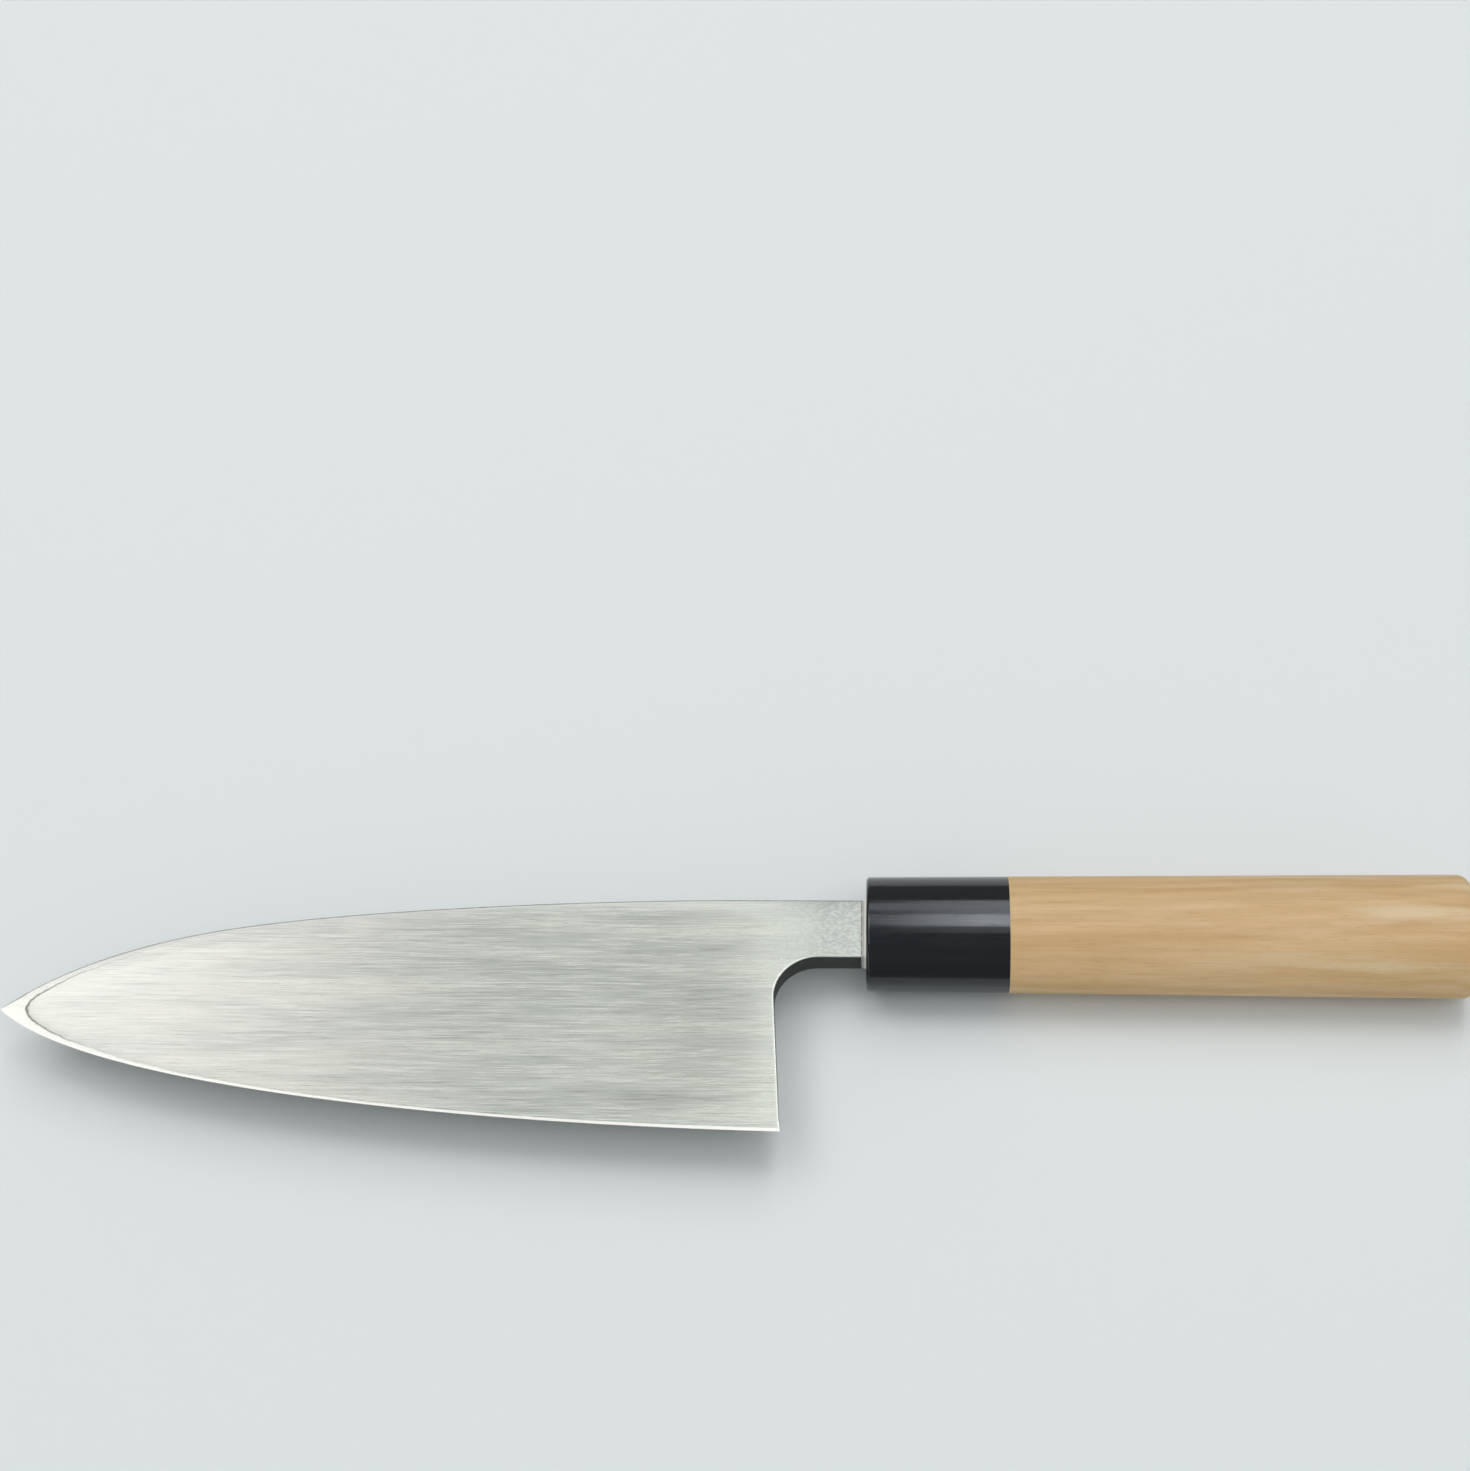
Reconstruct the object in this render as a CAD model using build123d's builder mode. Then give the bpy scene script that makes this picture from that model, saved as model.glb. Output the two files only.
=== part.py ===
from build123d import *
import math
import os

os.makedirs("parts", exist_ok=True)

# A right-handed deba of 180 mm, lying with its hollow back face up.
# +X runs from the tip to the butt, +Y from the cutting edge to the spine, and +Z up out of
# the back face. The origin is under the middle of the whole knife, on the surface it lies on.
# All sizes are in millimetres.

# Blade
blade_length = 180.0            # tip to heel
blade_height = 58.3             # spine to cutting edge at the heel
spine_thickness = 6.5           # at the neck and over the heel
back_height = 15.9              # flat back face above the surface
edge_left = 0.2                 # steel left standing at the cutting edge
face_lean = 2.0                 # degrees by which the front face thins towards the bevel
steel_depth = 1.7               # hard steel layer on the back
edge_easing = 0.3               # broken corners along the spine, choil and neck

# Neck and tang
neck_length = 17.8              # heel corner to the shoulder
neck_height = 14.9
spine_rise = 6.75               # spine above the axis of the handle, at the ferrule
heel_lean = 2.6                 # heel wall leans forward by this much, up at the neck
choil_radius = 10.0
steel_end_gap = 8.0             # shoulder to the end of the hard steel
steel_end_slant = 3.0           # the weld ends on a slant across the neck
shoulder_step = 0.8             # neck to tang, on each side
tang_length = 104.0
tang_end_height = 6.5
tang_end_thickness = 3.0

# Hollow of the back
hollow_depth = 0.5
rim_edge = 0.8                  # flat rim left along the cutting edge
rim_spine = 1.2
rim_heel = 1.2
rim_nose = 2.0                  # widening of the rim around the point
hollow_lift = 0.3               # how far above the back the cutter of the hollow is drawn

# Handle
handle_length = 138.4           # front of the ferrule to the butt
ferrule_length = 32.8
front_width = 27.6              # across the knife, spine side to edge side
front_height = 22.8             # from the ridge up
butt_width = 29.8
butt_height = 24.8
butt_drop = 0.5                 # axis at the butt, towards the cutting edge
side_radius = 5.5               # of the rounded sides, above the widest place
ridge_offset = 1.5              # ridge from the axis, towards the cutting edge
ridge_radius = 5.0
ridge_slope = 21.0              # degrees by which each flank rises from the ridge
butt_rounding = 2.8
ferrule_rounding = 0.8
ferrule_wall = 3.2
mouth_depth = 2.5               # ferrule's front down to the spigot
slot_spare = 2.0                # slot runs on past the end of the tang

# Seal
seal_proud = 0.95               # bead standing out in front of the ferrule
seal_lip = 0.5                  # bead beyond the outline of the tang and its step
seal_recess = 0.3               # flat of the seal behind the ferrule's front
seal_gap = 0.25                 # bead to the neck's shoulder

# Clearances
fit_clearance = 0.08            # tang in its slot, spigot in the ferrule
overrun = 5.0                   # cutters beyond what they cut

# Outline points as shares: of blade_length forward from the heel, of blade_height down from the spine
tip_share = (1.0, 0.505)
spine_fore_shares = [(0.894, 0.226), (0.745, 0.149), (0.666, 0.114)]
spine_rear_shares = [(0.498, 0.040), (0.218, 0.0), (0.059, 0.0)]
edge_shares = [(0.889, 0.811), (0.446, 0.972), (0.0, 1.0)]
bevel_root_shares = [(0.903, 0.198), (0.829, 0.401), (0.437, 0.544), (0.0, 0.571)]

# Distal taper as shares: of blade_length forward from the heel, of spine_thickness
taper_shares = [(1.0, 0.36), (0.88, 0.70), (0.50, 1.0), (0.0, 1.0)]

# Hollow as shares: of the way forward from its end by the heel, spine and edge as on the outline,
# of the hollow's depth, and of the rim's widening
hollow_shares = [
    (0.0, 0.0, 0.999, 0.10, 0.0),
    (0.02, 0.0, 0.998, 0.60, 0.0),
    (0.10, 0.002, 0.990, 1.0, 0.0),
    (0.30, 0.018, 0.962, 0.95, 0.0),
    (0.50, 0.056, 0.910, 0.85, 0.0),
    (0.70, 0.124, 0.825, 0.70, 0.0),
    (0.85, 0.240, 0.722, 0.45, 0.15),
    (0.93, 0.350, 0.637, 0.20, 0.9),
    (0.965, 0.415, 0.585, 0.05, 1.3),
]

# Where the bevel's cutter starts and ends, as shares of the full depth under the cutting edge
bevel_run_shares = (-0.2, 1.2)

# Handle section as shares: how far the side and the ridge pull on the curve of a flank
flank_side_share = 0.55         # of the half height
flank_ridge_share = 0.42        # of the half width
widest_share = 0.55             # height of the widest place, of the whole height

# A face counts as level when this much of its normal is upright
level_share = 0.9

# Places that follow from the sizes
seal_length = seal_proud + seal_gap
total_length = blade_length + neck_length + seal_length + handle_length
tip_x = -total_length / 2
heel_x = tip_x + blade_length
shoulder_x = heel_x + neck_length
ferrule_x = shoulder_x + seal_length
grip_x = ferrule_x + ferrule_length
butt_x = ferrule_x + handle_length
tang_end_x = shoulder_x + tang_length
mouth_x = ferrule_x + mouth_depth
steel_end_x = shoulder_x - steel_end_gap
axis_y = (blade_height - spine_rise + butt_drop - butt_width / 2) / 2
spine_y = axis_y + spine_rise
edge_y = spine_y - blade_height
belly_y = spine_y - neck_height
neck_y = spine_y - neck_height / 2
lean_drop = neck_height * math.tan(math.radians(face_lean))
tang_height = neck_height - 2 * shoulder_step
tang_thickness = spine_thickness - lean_drop - 2 * shoulder_step
tang_z = back_height - (spine_thickness - lean_drop) / 2


def blade_point(along_share, down_share):
    """A point of the blade's outline from its two shares."""
    return (heel_x - blade_length * along_share, spine_y - blade_height * down_share)


def between(start, end, part_share):
    """The point at a share of the way from start to end, which may lie beyond either."""
    return (
        start[0] + (end[0] - start[0]) * part_share,
        start[1] + (end[1] - start[1]) * part_share,
    )


def handle_size(x):
    """Width and height of the handle at a place along it, and where its middle lies across."""
    along_share = (x - ferrule_x) / handle_length
    width = front_width + (butt_width - front_width) * along_share
    height = front_height + (butt_height - front_height) * along_share
    return width, height, axis_y - butt_drop * along_share


# Blade outline, tip to neck, seen from above
with BuildSketch() as blade_outline:
    with BuildLine():
        tip = blade_point(*tip_share)
        heel = blade_point(*edge_shares[-1])
        spine_joint = blade_point(*spine_fore_shares[-1])
        spine_start = blade_point(*spine_rear_shares[-1])
        corner = (heel_x - heel_lean, belly_y)
        Bezier(tip, *[blade_point(*share) for share in spine_fore_shares])
        Bezier(spine_joint, *[blade_point(*share) for share in spine_rear_shares])
        Line(spine_start, (shoulder_x, spine_y))
        Line((shoulder_x, spine_y), (shoulder_x, belly_y))
        FilletPolyline((shoulder_x, belly_y), corner, heel, radius=choil_radius)
        Bezier(tip, *[blade_point(*share) for share in edge_shares])
    make_face()

# What the wide front bevel grinds away: every ruling runs in from the cutting edge
full_depth = spine_thickness - edge_left


def bevel_section(depth_share):
    """Ground-away region at a share of the full depth under the cutting edge."""
    edge_line = [tip, *[blade_point(*share) for share in edge_shares]]
    root_line = [blade_point(*share) for share in bevel_root_shares]
    line = [between(edge, root, depth_share) for edge, root in zip(edge_line, root_line)]
    far_y = edge_y - blade_height
    near_x = line[0][0] - (line[1][0] - line[0][0])
    near_y = line[0][1] - (line[1][1] - line[0][1])
    end = (line[-1][0] + neck_length / 2, line[-1][1])
    with BuildSketch(Plane.XY.offset(back_height - edge_left - full_depth * depth_share)) as section:
        with BuildLine():
            Line((near_x, near_y), line[0])
            Bezier(*line)
            Polyline(line[-1], end, (end[0], far_y), (near_x, far_y), (near_x, near_y))
        make_face()
    return section.sketch


with BuildPart() as bevel_waste:
    for run_share in bevel_run_shares:
        add(bevel_section(run_share))
    loft(ruled=True)

# What the distal taper and the lean of the front face take off the underside
with BuildPart() as taper_waste:
    lean_slope = math.tan(math.radians(face_lean))
    lean_plane = Plane(
        origin=(0, spine_y + overrun, back_height - overrun * lean_slope),
        x_dir=(1, 0, 0),
        z_dir=(0, -1, lean_slope),
    )
    with BuildSketch(lean_plane):
        with BuildLine():
            taper_line = [
                (heel_x - blade_length * along, -spine_thickness * deep) for along, deep in taper_shares
            ]
            low = -3 * spine_thickness
            Bezier(*taper_line)
            Polyline(
                taper_line[-1],
                (shoulder_x + overrun, -spine_thickness),
                (shoulder_x + overrun, low),
                (tip_x - overrun, low),
                (tip_x - overrun, taper_line[0][1]),
                taper_line[0],
            )
        make_face()
    extrude(amount=blade_height + 3 * overrun)

# Region of the hard steel: the blade outline up to a slant across the neck
with BuildSketch() as steel_region:
    with BuildLine():
        Polyline(
            (tip_x - overrun, spine_y + overrun),
            (steel_end_x - steel_end_slant, spine_y + overrun),
            (steel_end_x - steel_end_slant, spine_y),
            (steel_end_x, belly_y),
            (steel_end_x, edge_y - overrun),
            (tip_x - overrun, edge_y - overrun),
            close=True,
        )
    make_face()

with BuildSketch() as steel_outline:
    add(blade_outline.sketch)
    add(steel_region.sketch, mode=Mode.INTERSECT)


# The dished hollow of the back, an arc across the blade at each place along it
def hollow_section(along_share, spine_share, edge_share, depth_share, nose_share):
    """Slice across the hollow, its arc carried on a little above the flat rim."""
    high_y = spine_y - blade_height * spine_share - rim_spine - rim_nose * nose_share
    low_y = spine_y - blade_height * edge_share + rim_edge + rim_nose * nose_share
    middle_y = (high_y + low_y) / 2
    half_chord = (high_y - low_y) / 2
    depth = hollow_depth * depth_share
    lift = hollow_lift * depth_share
    radius = (half_chord**2 + depth**2) / (2 * depth)
    half_width = math.sqrt(radius**2 - (radius - depth - lift) ** 2)
    x = heel_x - heel_lean - rim_heel - (blade_length - heel_lean - rim_heel) * along_share
    with BuildSketch(Plane.YZ.offset(x)) as section:
        with BuildLine():
            start = (middle_y - half_width, back_height + lift)
            end = (middle_y + half_width, back_height + lift)
            ThreePointArc(start, (middle_y, back_height - depth), end)
            Polyline(
                end,
                (middle_y + half_width, back_height + overrun),
                (middle_y - half_width, back_height + overrun),
                start,
            )
        make_face()
    return section.sketch


with BuildPart() as hollow_waste:
    for row_shares in hollow_shares:
        add(hollow_section(*row_shares))
    loft()

def tang_root_section(clearance):
    """Section of the tang where it leaves the neck's shoulder, or of its slot."""
    with BuildSketch(Plane.YZ.offset(shoulder_x)) as section:
        with Locations((neck_y, tang_z)):
            Rectangle(tang_height + 2 * clearance, tang_thickness + 2 * clearance)
    return section.sketch


def tang_end_section(clearance):
    """Section of the tang at its end inside the handle, or of its slot."""
    with BuildSketch(Plane.YZ.offset(tang_end_x)) as section:
        with Locations((axis_y, tang_z)):
            Rectangle(tang_end_height + 2 * clearance, tang_end_thickness + 2 * clearance)
    return section.sketch


# Hard steel on the back: cutting edge, flat rim and hollow
with BuildPart() as edge_steel:
    with BuildSketch(Plane.XY.offset(back_height)):
        add(steel_outline.sketch)
    extrude(amount=-steel_depth)
    back_edges = edge_steel.faces().sort_by(Axis.Z)[-1].edges()
    weld_end = back_edges.sort_by(Axis.X)[-1]
    cutting_edge = back_edges.sort_by(SortBy.LENGTH)[-1]
    eased = [edge for edge in back_edges if edge not in (weld_end, cutting_edge)]
    chamfer(eased, edge_easing)
    add(bevel_waste.part, mode=Mode.SUBTRACT)
    add(taper_waste.part, mode=Mode.SUBTRACT)
    add(hollow_waste.part, mode=Mode.SUBTRACT)
edge_steel.part.label = "edge_steel"
export_step(edge_steel.part, "parts/edge_steel.step")

# Soft iron under it: front face, bevel, neck and tang in one forging
with BuildPart() as blade_body:
    with BuildSketch(Plane.XY.offset(back_height)):
        add(blade_outline.sketch)
    extrude(amount=-spine_thickness - edge_easing)
    with BuildSketch(Plane.XY.offset(back_height)):
        add(steel_outline.sketch)
    extrude(amount=-steel_depth, mode=Mode.SUBTRACT)
    add(taper_waste.part, mode=Mode.SUBTRACT)
    neck_back = blade_body.faces().sort_by(Axis.Z)[-1].edges().filter_by(Axis.X)
    undersides = blade_body.faces().filter_by(lambda face: face.normal_at().Z < -level_share)
    spine_under = undersides.edges().filter_by(lambda edge: edge.center().Y > neck_y)
    long_under = spine_under.filter_by(lambda edge: edge.length > neck_height)
    chamfer([*neck_back, *long_under], edge_easing)
    add(bevel_waste.part, mode=Mode.SUBTRACT)
    add(tang_root_section(0))
    add(tang_end_section(0))
    loft(ruled=True)
blade_body.part.label = "blade_body"
export_step(blade_body.part, "parts/blade_body.step")


def handle_section(x):
    """Section of the handle: a low crown, rounded sides and an underside that comes to a soft ridge."""
    width, height, middle_y = handle_size(x)
    slope = math.radians(ridge_slope)
    wide_z = height * widest_share
    side = width / 2
    ridge_y = middle_y - ridge_offset
    ridge_half = ridge_radius * math.sin(slope)
    ridge_rise = ridge_radius * (1 - math.cos(slope))
    rear = (ridge_y + ridge_half, ridge_rise)
    fore = (ridge_y - ridge_half, ridge_rise)
    pull = side * flank_ridge_share
    drop = wide_z * flank_side_share
    # The crown is the arc that touches the top and runs smoothly into the round of each side
    inner = side - side_radius
    rise = height - wide_z
    crown_radius = (inner**2 + rise**2 - side_radius**2) / (2 * (rise - side_radius))
    turn = math.asin(inner / (crown_radius - side_radius))
    crown_half = crown_radius * math.sin(turn)
    crown_z = height - crown_radius * (1 - math.cos(turn))
    round_turn = (turn + math.pi / 2) / 2
    round_half = inner + side_radius * math.sin(round_turn)
    round_z = wide_z + side_radius * math.cos(round_turn)
    with BuildSketch(Plane.YZ.offset(x)) as section:
        with BuildLine():
            crown_fore = (middle_y - crown_half, crown_z)
            crown_rear = (middle_y + crown_half, crown_z)
            ThreePointArc((middle_y + side, wide_z), (middle_y + round_half, round_z), crown_rear)
            ThreePointArc(crown_rear, (middle_y, height), crown_fore)
            ThreePointArc(crown_fore, (middle_y - round_half, round_z), (middle_y - side, wide_z))
            Bezier(
                (middle_y - side, wide_z),
                (middle_y - side, wide_z - drop),
                (fore[0] - pull * math.cos(slope), fore[1] + pull * math.sin(slope)),
                fore,
            )
            ThreePointArc(fore, (ridge_y, 0), rear)
            Bezier(
                rear,
                (rear[0] + pull * math.cos(slope), rear[1] + pull * math.sin(slope)),
                (middle_y + side, wide_z - drop),
                (middle_y + side, wide_z),
            )
        make_face()
    return section.sketch


def spigot_section(x, clearance):
    """Oval of the spigot, or of the ferrule's bore when the clearance is zero."""
    width, height, middle_y = handle_size(grip_x)
    with BuildSketch(Plane.YZ.offset(x)) as section:
        with Locations((middle_y, height / 2)):
            Ellipse(width / 2 - ferrule_wall - clearance, height / 2 - ferrule_wall - clearance)
    return section.sketch


# The tang's slot: the tang with the fit clearance all round, run on past its end
with BuildPart() as slot_waste:
    add(tang_root_section(fit_clearance))
    add(tang_end_section(fit_clearance))
    loft(ruled=True)
    extrude(tang_end_section(fit_clearance), amount=slot_spare)

# Wooden handle with the spigot that fills the ferrule
with BuildPart() as handle_body:
    add(handle_section(grip_x))
    add(handle_section(butt_x))
    loft(ruled=True)
    fillet(handle_body.faces().sort_by(Axis.X)[-1].edges(), radius=butt_rounding)
    extrude(spigot_section(mouth_x, fit_clearance), amount=grip_x - mouth_x)
    add(slot_waste.part, mode=Mode.SUBTRACT)
handle_body.part.label = "handle_body"
export_step(handle_body.part, "parts/handle_body.step")

# Horn ferrule, flush with the wood behind it
with BuildPart() as ferrule:
    add(handle_section(ferrule_x))
    add(handle_section(grip_x))
    loft(ruled=True)
    fillet(ferrule.faces().sort_by(Axis.X)[0].edges(), radius=ferrule_rounding)
    extrude(spigot_section(ferrule_x, 0), amount=ferrule_length, mode=Mode.SUBTRACT)
ferrule.part.label = "ferrule"
export_step(ferrule.part, "parts/ferrule.step")

# Resin that closes the ferrule's mouth, with a bead around the tang
with BuildPart() as tang_seal:
    extrude(spigot_section(ferrule_x + seal_recess, 0), amount=mouth_depth - seal_recess)
    with BuildSketch(Plane.YZ.offset(ferrule_x - seal_proud)):
        with Locations((neck_y, tang_z)):
            RectangleRounded(
                tang_height + 2 * (shoulder_step + seal_lip),
                tang_thickness + 2 * (shoulder_step + seal_lip),
                shoulder_step,
            )
    extrude(amount=seal_proud + seal_recess)
    add(slot_waste.part, mode=Mode.SUBTRACT)
tang_seal.part.label = "tang_seal"
export_step(tang_seal.part, "parts/tang_seal.step")

box = edge_steel.part.bounding_box().add(handle_body.part.bounding_box())
print("overall size", box.size, "lowest corner", box.min, "highest corner", box.max)
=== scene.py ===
# %% [markdown]
# A deba knife on a pale table, seen from above.
#
# The frame holds the knife as five separate pieces at their real size: the soft iron body, the
# hard steel back that carries the edge, the horn collar, the magnolia handle and the resin seal
# between neck and collar. This file remakes the steel, the iron and the seal as finer meshes of
# the same size, gives every piece its finish, and sets up the table, the light and the camera.

# %% Load the knife
import math

import bmesh
import bpy
import numpy as np
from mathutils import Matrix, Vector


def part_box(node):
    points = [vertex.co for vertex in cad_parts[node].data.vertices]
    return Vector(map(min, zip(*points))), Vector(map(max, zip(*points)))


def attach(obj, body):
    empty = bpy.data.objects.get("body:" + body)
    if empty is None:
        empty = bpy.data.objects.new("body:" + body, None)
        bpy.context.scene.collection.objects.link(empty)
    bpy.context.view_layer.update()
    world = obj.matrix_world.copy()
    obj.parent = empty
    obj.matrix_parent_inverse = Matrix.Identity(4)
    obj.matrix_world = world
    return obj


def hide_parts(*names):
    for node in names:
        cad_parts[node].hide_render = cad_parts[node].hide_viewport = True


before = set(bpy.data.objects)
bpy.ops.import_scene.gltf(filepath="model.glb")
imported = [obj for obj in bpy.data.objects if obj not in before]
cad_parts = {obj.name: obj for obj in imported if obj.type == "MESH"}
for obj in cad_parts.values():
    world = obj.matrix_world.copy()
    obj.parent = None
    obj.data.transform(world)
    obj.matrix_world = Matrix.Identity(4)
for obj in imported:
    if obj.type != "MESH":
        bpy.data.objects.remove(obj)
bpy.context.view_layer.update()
mm = 0.001
print("pieces:", sorted(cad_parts))

# %% [markdown]
# The picture was taken with a moderate telephoto from about 67 cm, standing at the edge side of
# the knife and looking down steeply. A camera could be aimed at a point, but here its place and
# its three turns were measured from the picture's straight lines, so they are given as they are.

# %% Camera
camera_place = (33.74, -291.6, 602.27)
camera_turn = (31.70, 2.46, 1.58)
camera_data = bpy.data.cameras.new("camera")
camera_data.sensor_fit = "HORIZONTAL"
camera_data.sensor_width = 36
camera_data.lens = 70.2
camera_data.clip_start = 10 * mm
camera = bpy.data.objects.new("camera", camera_data)
camera.location = [mm * value for value in camera_place]
camera.rotation_euler = [math.radians(value) for value in camera_turn]
bpy.context.scene.collection.objects.link(camera)
bpy.context.scene.camera = camera
bpy.context.scene.view_settings.view_transform = "Standard"
print("camera distance, mm:", round(math.dist(camera_place, (0, 0, 0))))

# %% [markdown]
# Colours are written as a painter's hex values, which are sRGB. Shaders work in linear light, so
# one function turns a hex value into the four linear numbers that a socket takes. A second small
# function adds a node, sets it and links it: a value that is a socket becomes a link, and any
# other value is set on the input itself.


# %% Helpers for colours and nodes
def colour(hex_value):
    parts = [int(hex_value[i:i + 2], 16) / 255 for i in (1, 3, 5)]
    return [p / 12.92 if p <= 0.04045 else ((p + 0.055) / 1.055) ** 2.4 for p in parts] + [1]


def add_node(tree, kind, inputs=None, **settings):
    node = tree.nodes.new(kind)
    for name, value in settings.items():
        setattr(node, name, value)
    for name, value in (inputs or {}).items():
        if isinstance(value, bpy.types.NodeSocket):
            tree.links.new(value, node.inputs[name])
        else:
            node.inputs[name].default_value = value
    return node


print("linear mid grey:", round(colour("#808080")[0], 3))

# %% [markdown]
# Every finish here starts from the same two things: a material with an empty node tree, and the
# place on the piece, counted in millimetres from the knife's own origin. A pattern is stretched
# by dividing that place by the pattern's real length, width and height, so a grain that is
# 20 mm long and 0.3 mm wide is written with just those numbers.


# %% Start of a material, and patterns of a real size
def start_material(name):
    material = bpy.data.materials.new(name)
    material.use_nodes = True
    material.node_tree.nodes.clear()
    return material, material.node_tree


def pattern(tree, size, detail=3, roughness=0.55, distortion=0.0, offset=(0, 0, 0)):
    place = add_node(tree, "ShaderNodeTexCoord").outputs["Object"]
    scaled = add_node(tree, "ShaderNodeMapping", {
        "Vector": place,
        "Location": offset,
        "Scale": [1 / (length * mm) for length in size],
    })
    return add_node(tree, "ShaderNodeTexNoise", {
        "Vector": scaled.outputs["Vector"],
        "Scale": 1.0,
        "Detail": detail,
        "Roughness": roughness,
        "Distortion": distortion,
    }).outputs["Fac"]


def finish_material(tree, shader):
    add_node(tree, "ShaderNodeOutputMaterial", {"Surface": shader.outputs["BSDF"]})


print("a 20 mm grain is stretched by", round(1 / (20 * mm)))

# %% [markdown]
# A finish is mixed in small steps: one step turns a range of values into another range, one
# mixes two tones by a share, one does arithmetic, and one reads a share from the place along the
# knife, given in millimetres. Roughness is mixed as a tone is, so it is written as a grey.


# %% Small steps that mix a finish
def spread(tree, value, low, high, to_low=0.0, to_high=1.0):
    return add_node(tree, "ShaderNodeMapRange", {
        "Value": value,
        "From Min": low,
        "From Max": high,
        "To Min": to_low,
        "To Max": to_high,
    }).outputs["Result"]


def mix(tree, share, first, second):
    return add_node(tree, "ShaderNodeMixRGB", {
        "Fac": share,
        "Color1": first,
        "Color2": second,
    }).outputs["Color"]


def combine(tree, operation, first, second):
    inputs = {0: first, 1: second}
    return add_node(tree, "ShaderNodeMath", inputs, operation=operation).outputs["Value"]


def place_on(tree, axis):
    place = add_node(tree, "ShaderNodeTexCoord").outputs["Object"]
    return add_node(tree, "ShaderNodeSeparateXYZ", {"Vector": place}).outputs[axis]


def share_along(tree, start, stop, first, last):
    return spread(tree, place_on(tree, "X"), start * mm, stop * mm, first, last)


def grey_level(value):
    return (value, value, value, 1)


print("a roughness of 0.36 as a grey:", grey_level(0.36))

# %% [markdown]
# The hard steel is a high-carbon steel, hollow ground and then brushed along its length with a
# fine stone. Brushing leaves parallel scratches, and they do two things to the eye: light
# streaks run along the blade, and highlights spread across the scratches, not along them. Real
# scratches are about 0.05 mm wide, too fine for the picture, so they are drawn 0.17 mm wide.
# Coarser streaks and broad, faint bands lie among them.

# %% Lines that brushing leaves
scratch_size = (10, 0.17, 0.17)
streak_size = (30, 0.42, 0.42)
band_size = (60, 5, 5)
streak_share = 0.4
band_share = 0.25


def brushed_lines(tree):
    scratches = pattern(tree, scratch_size, detail=3, roughness=0.6)
    streaks = pattern(tree, streak_size, detail=3, roughness=0.6, offset=(3, 1, 0))
    bands = pattern(tree, band_size, detail=2, offset=(7, 2, 0))
    lines = mix(tree, streak_share, scratches, streaks)
    return mix(tree, band_share, lines, bands), bands


print("scratches, mm:", scratch_size)

# %% [markdown]
# The tone is not the same all along the blade. Behind the tip a paler stretch is a painted
# reflection of the lamps, the fore part is a little warmer, some bands are straw-coloured, and
# toward the heel the steel is duller.
# A few deeper scratches show dark on one side of the pattern's range and bright on the other.

# %% Tone of the brushed steel
deep_size = (10, 0.24, 0.24)
straw_share = 0.25


def brushed_tint(tree, bright, dark, lines, bands):
    # painted reflection: a stretch behind the tip is mixed paler, as the lamps' brighter
    # reflection
    past_tip = share_along(tree, -164, -135, 0, 0.5)
    forward = share_along(tree, -105, -55, 1, 0)
    painted_reflection_share = combine(tree, "MULTIPLY", past_tip, forward)
    low = mix(tree, painted_reflection_share, colour(dark), colour("#bcbcb8"))
    high = mix(tree, painted_reflection_share, colour(bright), colour("#dadad5"))
    tint = mix(tree, spread(tree, lines, 0.34, 0.66), low, high)
    deep = pattern(tree, deep_size, detail=1, offset=(5, 5, 5))
    tint = mix(tree, spread(tree, deep, 0.6, 0.7, 0, 0.4), tint, colour("#8b8f8b"))
    tint = mix(tree, spread(tree, deep, 0.3, 0.4, 0.3, 0), tint, colour("#e0e0dc"))
    warmth = share_along(tree, -120, -50, 0.4, 0)
    tint = mix(tree, warmth, tint, colour("#c3c1bf"))
    straw = mix(tree, spread(tree, bands, 0.45, 0.7), tint, colour("#cccbbd"))
    tint = mix(tree, straw_share, tint, straw)
    near_heel = share_along(tree, -32, 6, 0, 0.5)
    return mix(tree, near_heel, tint, colour("#a7aba3"))


print("deep scratches, mm:", deep_size)

# %% [markdown]
# Toward the neck the brushing gives way to a matt, mottled skin. Its border wanders, because the
# mottle itself is added to the place at which the skin comes in.

# %% Matt skin of the neck
mottle_size = (1.0, 0.7, 0.7)
border_wander = 6


def neck_skin(tree):
    mottle = pattern(tree, mottle_size, detail=4, roughness=0.65)
    blotch = mix(tree, spread(tree, mottle, 0.37, 0.63), colour("#818583"), colour("#9da19d"))
    wander = combine(tree, "MULTIPLY", mottle, border_wander * mm)
    place = combine(tree, "ADD", place_on(tree, "X"), wander)
    return spread(tree, place, 9 * mm, 24 * mm, 0, 0.8), blotch


print("mottle, mm:", mottle_size)

# %% [markdown]
# Steel and iron are brushed in one go, so one function makes both, and each adds a skin of its
# own at the end. Highlights that spread across the scratches are the shader's anisotropy, with
# its tangent turned round the blade's long axis. Fine brushing is drawn with a roughness of 0.2
# to 0.3, and the matt skin of the neck takes it most of the way to 0.36.

# %% One maker for both metals
rough_low = 0.2
rough_high = 0.3
neck_rough = 0.36
anisotropy = 0.5
scratch_strength = 0.1
scratch_depth = 0.02


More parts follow.
